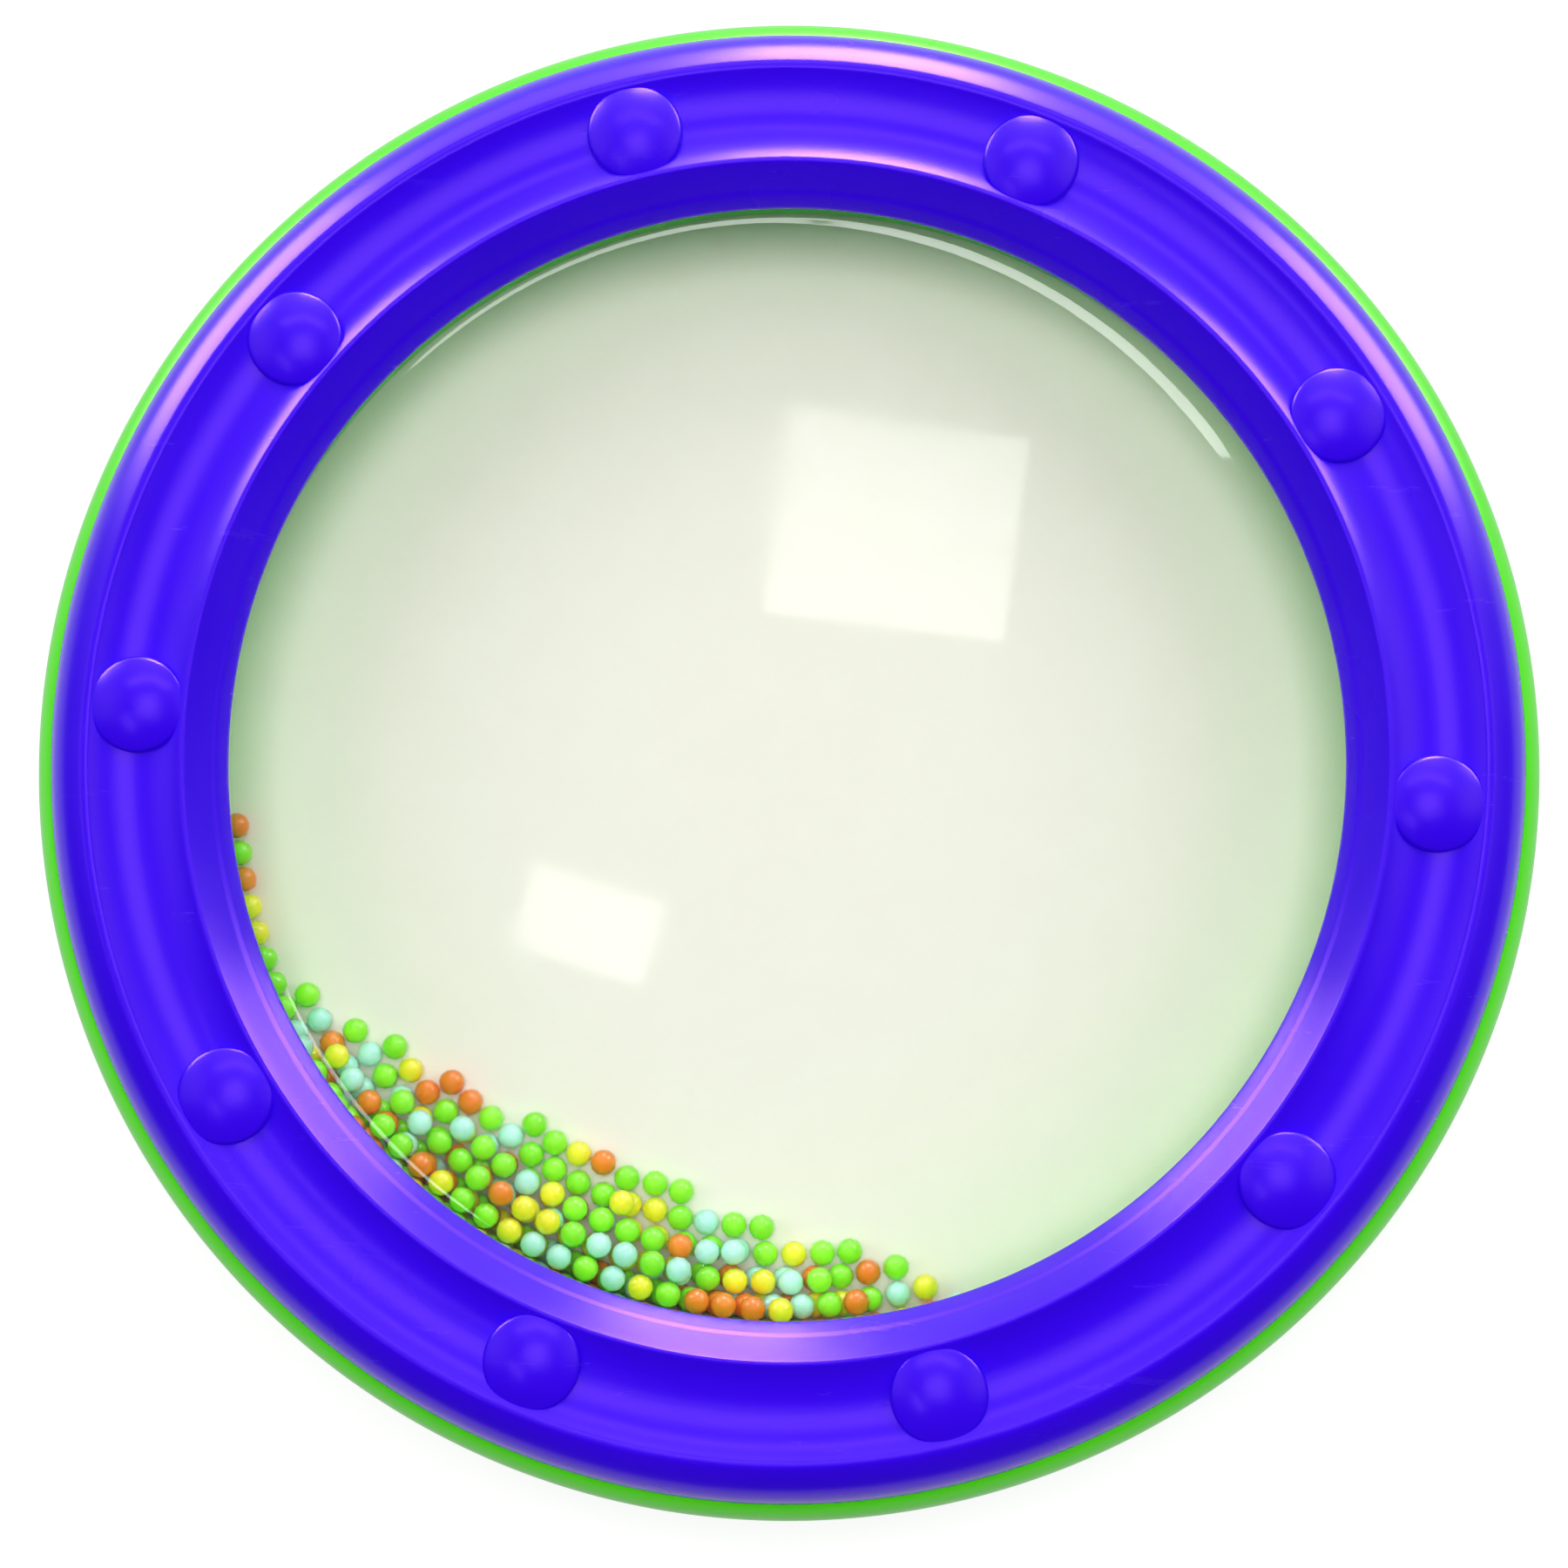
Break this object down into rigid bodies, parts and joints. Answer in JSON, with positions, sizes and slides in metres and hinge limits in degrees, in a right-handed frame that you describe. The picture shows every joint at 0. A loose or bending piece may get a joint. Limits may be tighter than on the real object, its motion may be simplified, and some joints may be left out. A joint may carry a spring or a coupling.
{
  "type": "ocean drum",
  "caption": "Flat round hand drum with a clear front head and an opaque rear head, holding loose coloured beads that roll with a surf-like sound; studded rims.",
  "frame": {"origin": "centre of the drum on the surface that its rear rim rests on", "axes": "+Z along the drum's axis, out of the clear front head; +Y towards the top of the picture; +X to its right"},
  "size_m": [0.25, 0.25, 0.0454],
  "materials": {
    "violet_rim": "moulded violet plastic, satin gloss",
    "green_shell": "moulded lime green plastic, satin gloss",
    "clear_film": "clear polyester film, glossy",
    "cream_film": "opaque cream-white polyester film, satin",
    "head_hoop": "natural white moulded plastic",
    "screw_steel": "zinc plated steel",
    "green_bead": "opaque lime green plastic bead",
    "yellow_bead": "opaque yellow plastic bead",
    "orange_bead": "opaque orange plastic bead",
    "mint_bead": "opaque pale mint plastic bead"
  },
  "bodies": {
    "drum": {"front_rim": "violet_rim", "rear_rim": "green_shell", "drum_shell": "green_shell", "front_head": "clear_film", "rear_head": "cream_film", "front_head_hoop": "head_hoop", "rear_head_hoop": "head_hoop", "tie_screws": "screw_steel"},
    "bead_load": {"green_beads_low": "green_bead", "green_beads_middle": "green_bead", "green_beads_top": "green_bead", "yellow_beads_low": "yellow_bead", "yellow_beads_middle": "yellow_bead", "yellow_beads_top": "yellow_bead", "orange_beads_low": "orange_bead", "orange_beads_middle": "orange_bead", "orange_beads_top": "orange_bead", "mint_beads_low": "mint_bead", "mint_beads_middle": "mint_bead", "mint_beads_top": "mint_bead"}
  },
  "joints": [
    {"name": "bead_roll", "type": "hinge", "parent": "drum", "child": "bead_load", "pos_m": [0, 0, 0.015], "axis": [0, 0, 1], "continuous": true}
  ]
}
